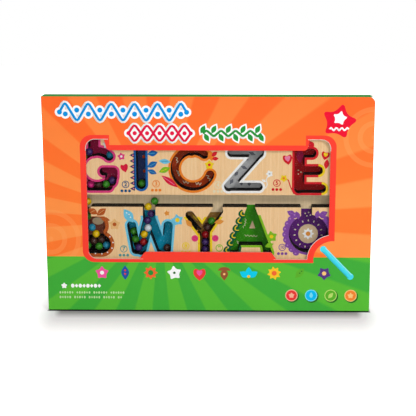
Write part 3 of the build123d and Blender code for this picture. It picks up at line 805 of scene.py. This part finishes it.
# Card sleeve. One sheet of white-lined card, printed with rays, is wrapped round
# the board and glued under its top. Its cut edges and its inside stay white.
sleeve_low, sleeve_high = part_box("carton_front")
card_roughness = 0.45
card_patches = (60, 60, 60)
card_fibres = (300, 300, 300)
fibre_depth = 0.00002
card_orange = ((253, 120, 46), (253, 144, 68))
card_orange_top = ((253, 104, 38), (253, 125, 54))
orange_heights = (0.11, 0.216)
card_green = ((62, 171, 57), (86, 185, 53))
fold_green = (48, 164, 74)
card_red = (248, 62, 46)
card_bare = (240, 238, 232)
card_rubs = (90, 60, 40)
rub_share = 0.04
rim_colour = (228, 216, 202)
ray_centre = (-0.049, 0.095)
ray_count = 20
ray_sway = 1.6
ray_edge = 0.16
swirls = ((0.165, 0.180), (-0.160, 0.075))
swirl_orange = (255, 164, 92)
swirl_spacing = 0.014
swirl_rings = 2.4
swirl_crest = 0.43
swirl_share = 0.28
split_height = 0.0567
border = {"half_width": 0.128, "low": 0.0508, "high": 0.1818, "corner": 0.012}
border_middle_top = 0.17175
border_steps = (-0.0984, 0.0973)
bite_centre = (0.1265, 0.054)
border_bite = 0.0197
window = {"half_width": 0.122, "low": 0.0546, "high": 0.1773, "corner": 0.009}
window_bite = 0.0264
rim_width = 0.0005
rim_high_ends = (0.0995, 0.166)
rim_low_ends = (0.0665, 0.061)
rim_low_share = 0.5
fold_margin = 0.0002


def both(tree, *shares):
    """1 where every share is 1."""
    share = shares[0]
    for other in shares[1:]:
        share = calc(tree, "MULTIPLY", share, other)
    return share


def either(tree, *shares):
    share = shares[0]
    for other in shares[1:]:
        share = calc(tree, "MAXIMUM", share, other)
    return share


def above(tree, value, limit):
    return calc(tree, "GREATER_THAN", value, limit)


def below(tree, value, limit):
    return calc(tree, "LESS_THAN", value, limit)


def reach_from(tree, across, up, middle):
    """How far a point of the card lies from a middle."""
    spot = add(tree, "CombineXYZ", {0: across, 2: up}).outputs[0]
    past = add(tree, "VectorMath", {0: spot, 1: (middle[0], 0, middle[1])}, operation="DISTANCE")
    return past.outputs["Value"]


def panel_reach(tree, across, up, half_width, low, high, corner):
    """How far a point lies past a panel's edge, whose corners are rounded."""
    side = calc(tree, "SUBTRACT", calc(tree, "ABSOLUTE", across), half_width - corner)
    rise = calc(tree, "ABSOLUTE", calc(tree, "SUBTRACT", up, (high + low) / 2))
    rise = calc(tree, "SUBTRACT", rise, (high - low) / 2 - corner)
    side, rise = (calc(tree, "MAXIMUM", one, 0.0) for one in (side, rise))
    return calc(tree, "SUBTRACT", reach_from(tree, side, rise, (0, 0)), corner)


def sunburst(tree, across, up):
    """Uneven rays round a middle: 0 on the dark ones and 1 on the light ones."""
    side = calc(tree, "SUBTRACT", across, ray_centre[0])
    angle = calc(tree, "ARCTAN2", calc(tree, "SUBTRACT", up, ray_centre[1]), side)
    sway = calc(tree, "MULTIPLY", calc(tree, "SINE", calc(tree, "MULTIPLY", angle, 2)), ray_sway)
    wave = calc(tree, "COSINE", calc(tree, "ADD", calc(tree, "MULTIPLY", angle, ray_count), sway))
    return ramp(tree, wave, (ray_edge, -ray_edge))


def border_share(tree, across, up):
    """1 inside the border's outline: a wide panel with raised ends and a bite."""
    raised = either(tree, below(tree, up, border_middle_top), below(tree, across, border_steps[0]),
                    above(tree, across, border_steps[1]))
    return both(tree, below(tree, panel_reach(tree, across, up, **border), 0.0), raised,
                above(tree, reach_from(tree, across, up, bite_centre), border_bite))


def rim_share(tree, across, up):
    """1 where the white of the card shows at the window's cut edge."""
    past = panel_reach(tree, across, up, **window)
    beside = calc(tree, "ABSOLUTE", across)
    far, high = rim_high_ends
    high_ends = both(tree, above(tree, up, high), above(tree, beside, far))
    far, low = rim_low_ends
    low_ends = both(tree, below(tree, up, low), above(tree, beside, far), rim_low_share)
    reach = reach_from(tree, across, up, bite_centre)
    edge = both(tree, above(tree, past, 0.0), below(tree, past, rim_width),
                either(tree, high_ends, low_ends), above(tree, reach, window_bite))
    bite = both(tree, above(tree, reach, window_bite - rim_width),
                below(tree, reach, window_bite), below(tree, past, 0.0))
    return either(tree, edge, bite)


def card_print(name, printed_depth=None, with_border=False):
    """Orange rays over green rays, or green alone, and white where it is cut or bare."""
    made, tree, shader = finish(name, card_roughness, ink_shine)
    across, depth, up = where(tree)
    outside = either(tree, below(tree, up, fold_margin),
                     above(tree, up, sleeve_high.z - fold_margin))
    patches = cloud(tree, card_patches, 4, 0.6)
    colour = tint(tree, patches, tone(card_green[0]), tone(fold_green))
    if printed_depth is not None:
        rays = sunburst(tree, across, up)
        height = ramp(tree, up, orange_heights)
        dark, light = (tint(tree, height, tone(low), tone(high))
                       for low, high in zip(card_orange, card_orange_top))
        orange = tint(tree, rays, dark, light)
        for middle in swirls:
            reach = reach_from(tree, across, up, middle)
            wave = calc(tree, "COSINE", calc(tree, "MULTIPLY", reach, whole / swirl_spacing))
            rings = both(tree, above(tree, wave, swirl_crest),
                         below(tree, reach, swirl_spacing * swirl_rings), swirl_share)
            orange = tint(tree, rings, orange, tone(swirl_orange))
        green = tint(tree, rays, *map(tone, card_green))
        front = tint(tree, below(tree, up, split_height), orange, green)
        if with_border:
            front = tint(tree, border_share(tree, across, up), front, tone(card_red))
            front = tint(tree, rim_share(tree, across, up), front, tone(rim_colour))
        sockets = {0: depth, 1: printed_depth, 2: fold_margin}
        face = add(tree, "Math", sockets, operation="COMPARE").outputs[0]
        colour = tint(tree, face, colour, front)
        outside = either(tree, outside, face)
    colour = tint(tree, outside, tone(card_bare), colour)
    colour = tint(tree, calc(tree, "MULTIPLY", patches, rub_share), colour, tone(card_rubs))
    colour_by(tree, shader, colour)
    relief(tree, shader, cloud(tree, card_fibres, 3, 0.6), fibre_depth)
    return made


paint(card_print("front_print", sleeve_low.y, True), "carton_front")
paint(card_print("back_print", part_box("carton_back")[1].y), "carton_back")
paint(card_print("fold_print"), "carton_top", "carton_bottom", "carton_glue_lap")

# Card ornaments. The front carries a wave, a twist and a vine with white round
# them, a star, rows of small motifs and marks, four discs and a slanted bar.
card_inks = {
    "card_blue": (2, 146, 224), "card_crimson": (228, 12, 64), "card_leaf": (38, 148, 56),
    "card_ruby": (236, 8, 48), "card_white": (252, 252, 252), "card_shade": (44, 108, 40),
    "disc_red": (236, 58, 56), "disc_blue": (4, 186, 244), "disc_green": (92, 176, 44),
    "disc_orange": (246, 132, 50), "pale_red": (250, 178, 150), "pale_blue": (120, 222, 246),
    "pale_green": (186, 222, 110), "pale_orange": (252, 200, 124), "card_pink": (241, 86, 157),
    "card_navy": (36, 84, 160), "card_orange": (242, 104, 50), "card_brown": (150, 84, 50),
    "card_cyan": (4, 204, 238), "card_yellow": (248, 200, 38), "card_purple": (84, 56, 128),
    "bar_cyan": (70, 220, 240), "bar_light": (150, 238, 244), "bar_dark": (44, 186, 214),
    "pale_print": (188, 224, 160),
}
for name, colour in card_inks.items():
    ink_finishes[name] = ink_finish(name, colour, 0.96, card_roughness)
halo = 2.2


def on_card(name, ink, layer, rows, lines=()):
    print_marks(name, ink, layer, sleeve_low.y, "carton_front_print", "sleeve", rows, lines)


def haloed(name, ink, rows, lines):
    """Prints figures and strokes over a white shape that stands out round them."""
    wider = [(shape, across, up, tall + halo, wide + halo, turn)
             for shape, across, up, tall, wide, turn in rows]
    thicker = [(width + 2 * halo, bend, points) for width, bend, points in lines]
    on_card(name + "_halo", "card_white", 1, wider, thicker)
    on_card(name, ink, 3, rows, lines)


def wavy(start, end, up, swing, crests):
    """The turning points of a wave, which starts and ends halfway up."""
    step = (end - start) / crests
    turns = [(start + step * (place + 0.5), up + swing * (-1) ** place) for place in range(crests)]
    return [(start, up), *turns, (end, up)]


wave_height = 204.6
band_height = 183.6
dot_sink = 0.2
wide_bend = 8.0
wave = wavy(-147.0, -21.0, wave_height, 9.8, 11)
hollows = [(across, wave_height - (up - wave_height) * dot_sink) for across, up in wave[1:-1]]
haloed("blue_wave", "card_blue", dots(2.5, *hollows, wave[0], wave[-1]), [(2.9, wide_bend, wave)])
strands = [wavy(-79.0, -17.0, band_height, swing, 5) for swing in (9.0, -9.0)]
crossings = [(across, band_height) for across, _ in strands[0]]
haloed("crimson_twist", "card_crimson", dots(2.1, *crossings),
       [(2.8, wide_bend, strand) for strand in strands])
stem = wavy(-5.0, 53.0, band_height, 3.2, 8)
leaf_reach = 4.0
leaf_turn = 28
vine_leaves = []
for place, (across, _) in enumerate(stem):
    side = (-1) ** place
    up = band_height + leaf_reach * side
    vine_leaves.append(("leaf", across, up, 4.6, 3.6, -leaf_turn * side))
haloed("green_vine", "card_leaf", vine_leaves, [(2.6, 4.0, stem)])
on_card("ruby_star", "card_ruby", 1, [("star", 129.8, 195.9, 19.2, 19.2, -13)])
on_card("white_star", "card_white", 2, [("star", 130.6, 199.2, 7.8, 7.8, -13)],
        [(2.0, 2.4, wavy(120.6, 139.4, 188.2, 1.6, 7))])
discs = (("red", 85.2, "flower", 3.4, 3.4, 0), ("blue", 105.3, "drop", 3.6, 2.6, 0),
         ("green", 125.3, "leaf", 3.8, 3.0, -40), ("orange", 145.7, "star", 3.6, 3.6, 0))
disc_height = 16.3
disc_radius = 5.5
disc_rim = 0.9
shade_radius = 6.9
shade_right = 0.9
shade_drop = 1.0
shades = [(disc[1] + shade_right, disc_height - shade_drop) for disc in discs]
on_card("disc_shadows", "card_shade", 1, dots(shade_radius, *shades))
for colour, across, shape, tall, wide, turn in discs:
    middle = (across, disc_height)
    on_card("pale_%s_disc" % colour, "pale_" + colour, 2, dots(disc_radius + disc_rim, middle))
    on_card("%s_disc" % colour, "disc_" + colour, 3, dots(disc_radius, middle))
    on_card("%s_disc_figure" % colour, "pale_" + colour, 4,
            [(shape, across, disc_height, tall, wide, turn)])
motifs = [
    ("pink", "card_pink", [("flower", -108.9, 39.6, 7.6, 7.6, 0)],
     "card_white", dots(2.1, (-108.9, 39.6))),
    ("navy", "card_navy", [("leaf", -85.2, 39.8, 7.6, 6.0, 0)],
     "disc_red", dots(1.0, (-85.2, 42.2), (-85.2, 38.4))),
    ("orange", "card_orange", [("daisy", -59.0, 39.8, 7.6, 7.6, 0)],
     "card_leaf", dots(2.8, (-59.0, 39.8))),
    ("white", "card_white", [("star", -34.8, 39.8, 8.2, 8.2, 8)],
     "card_shade", dots(1.3, (-34.8, 39.8))),
    ("red", "disc_red", [("heart", -9.1, 40.4, 6.9, 7.0, 0)],
     "card_pink", [("heart", -9.1, 40.8, 3.3, 3.3, 0)]),
    ("brown", "card_brown", [
        ("drop", 16.2, 38.6, 6.8, 6.0, 180), ("half", 16.2, 42.2, 6.4, 4.0, -90)],
     "pale_orange", dots(1.2, (16.2, 38.6))),
    ("cyan", "card_cyan", ring_of("leaf", 41.2, 35.6, 5.2, 5.4, 4.9, (-58, 0, 58)),
     "card_yellow", dots(1.6, (41.2, 36.2))),
    ("yellow", "card_yellow", [("daisy", 67.2, 39.8, 7.5, 7.5, 11)],
     "card_orange", dots(2.6, (67.2, 39.8))),
    ("faint", "disc_green", [("leaf", 93.3, 40.0, 6.8, 5.2, -40)],
     "card_shade", dots(0.7, (93.3, 40.0), (95.2, 42.0))),
    ("purple", "card_purple", [("flower", 118.2, 39.8, 7.7, 7.7, 36)],
     "pale_orange", dots(2.2, (118.2, 39.8))),
]
for name, ink, rows, eye_ink, eyes in motifs:
    on_card(name + "_motif", ink, 1, rows)
    on_card(name + "_motif_eye", eye_ink, 3, eyes)


def small_marks(start, step, up, tall, wide, places):
    """A row of small discs and diamonds in turn."""
    return [(("disc", "diamond")[place % 2], start + step * place, up, tall, wide, 0)
            for place in places]


on_card("white_row", "card_white", 1, [
    ("flower", -148.2, 25.6, 3.5, 3.5, 0), *small_marks(-139.4, 3.9, 25.6, 2.1, 1.8, range(8))])
fine_marks = []
for up, count, gap in ((18.4, 28, 7), (13.4, 26, 6)):
    places = [place for place in range(count) if place % gap < gap - 1]
    fine_marks += small_marks(-152.4, 2.5, up, 1.35, 0.95, places)
on_card("fine_rows", "pale_print", 1, fine_marks)
bar_ends = [(116.9, 65.3), (144.8, 36.6)]
on_card("cyan_bar", "bar_cyan", 1, dots(3.4, *bar_ends), [(6.8, 1, bar_ends)])
on_card("cyan_bar_edges", "bar_light", 2, [], [(1.2, 1, [(118.5, 66.8), (146.4, 38.1)])])
on_card("cyan_bar_shadow", "bar_dark", 2, [], [(1.0, 1, [(115.1, 63.6), (143.0, 34.9)])])

for piece in figures.values():
    bpy.data.objects.remove(piece)

# Floor and light. The box stands on a plain white table in a soft white room, seen
# as pure white apart from the box's soft shadow, which is in part painted on the table.
# Lamps stand in front, at the upper right, overhead and behind.
table_colour = 0.9
table_seen = 0.53
painted_contact_shade_depth = (-0.0004, 0.0021)
painted_contact_shade_dark = 0.02
shadow_ends = 0.15
end_spread = 2.8
bounce_depth = (0.0, 0.05)
bounce_kept = 0.78
shadow_depth = (0.006, 0.025)
shadow_lift = 0.42
backdrop_depth = (0.03, 0.17)
room_light = 0.25
stand_height = 0.0013
bpy.ops.object.select_all(action="DESELECT")
bpy.ops.mesh.primitive_plane_add(size=6.0, location=(0, 0, -stand_height))
table = bpy.context.object
table.name = "table"
bpy.ops.object.transform_apply(location=True, rotation=True, scale=True)

# The camera sees a darker table with a painted shadow: near black at the box's foot, and a
# glow that rises with distance from the box, turning white where the painted shade ends.
# Its green is taken back near the front's foot, against the light that the green card throws there.
made, tree, shader = finish("white_table", 0.9, 0.0)
seen = add(tree, "LightPath").outputs["Is Camera Ray"]
across, along = where(tree)[:2]
beside = calc(tree, "ABSOLUTE", across)
ahead = calc(tree, "SUBTRACT", calc(tree, "ABSOLUTE", along), -sleeve_low.y)
past_side = calc(tree, "SUBTRACT", beside, sleeve_high.x)
past_end = calc(tree, "MAXIMUM", calc(tree, "SUBTRACT", beside, shadow_ends), 0.0)
past_end = calc(tree, "MULTIPLY", past_end, end_spread)
reach = reach_from(tree, past_end, calc(tree, "MAXIMUM", ahead, 0.0), (0, 0))
# Painted contact shadow: the table's colour and glow drop nearly to black under the box's foot.
under = ramp(tree, calc(tree, "MAXIMUM", ahead, past_side), painted_contact_shade_depth, painted_contact_shade_dark, 1.0)
pale = calc(tree, "MULTIPLY", under, table_seen)
from_foot = reach_from(tree, past_end, along, (0, sleeve_low.y))
bounce = ramp(tree, from_foot, bounce_depth, bounce_kept, 1.0)
grey = add(tree, "CombineXYZ", {0: pale, 1: calc(tree, "MULTIPLY", pale, bounce), 2: pale})
white = (table_colour, table_colour, table_colour, 1.0)
colour_by(tree, shader, tint(tree, seen, white, grey.outputs[0]))
glow = calc(tree, "ADD", ramp(tree, reach, shadow_depth, 0.0, shadow_lift),
            ramp(tree, reach, backdrop_depth))
shader.inputs["Emission Color"].default_value = (1, 1, 1, 1)
tree.links.new(both(tree, seen, glow, under), shader.inputs["Emission Strength"])
table.data.materials.append(made)

room = bpy.data.worlds.new("white_room")
bpy.context.scene.world = room
room.use_nodes = True
tree = room.node_tree
backdrop = tree.nodes["Background"]
seen = add(tree, "LightPath").outputs["Is Camera Ray"]
backdrop.inputs["Color"].default_value = (1, 1, 1, 1)
tree.links.new(calc(tree, "MAXIMUM", seen, room_light), backdrop.inputs["Strength"])


def lamp(name, place, aim, size, power):
    data = bpy.data.lights.new(name, "AREA")
    data.shape = "DISK"
    data.size = size
    data.energy = power
    made = bpy.data.objects.new(name, data)
    bpy.context.scene.collection.objects.link(made)
    made.location = place
    reach = Vector(aim) - Vector(place)
    made.rotation_euler = reach.to_track_quat("-Z", "Y").to_euler()


lamp("overhead", (0.0, 0.45, 1.5), (0.0, 0.0, 0.0), 1.0, 4.5)
lamp("front", (0.06, -1.8, 0.22), (0.0, 0.0, 0.09), 1.2, 11.4)
lamp("side", (0.9, -1.3, 1.1), (0.0, 0.0, 0.1), 0.5, 17.0)
lamp("behind", (-0.3, 1.6, 0.11), (0.0, 0.0, 0.1), 0.2, 9.5)

# Camera. It stands about a metre in front, a little right of the middle and over
# the top, and looks down on the front. Its shift keeps the picture's crop.
lens = bpy.data.cameras.new("camera")
lens.lens = 90.69
lens.sensor_width = 36.0
lens.shift_x = -0.0481
camera = bpy.data.objects.new("camera", lens)
bpy.context.scene.collection.objects.link(camera)
camera.location = (0.03479, -1.04231, 0.33492)
camera.rotation_euler = tuple(math.radians(turn) for turn in (77.588, -0.0352, 0.8277))
bpy.context.scene.camera = camera
bpy.context.scene.view_settings.view_transform = "Standard"
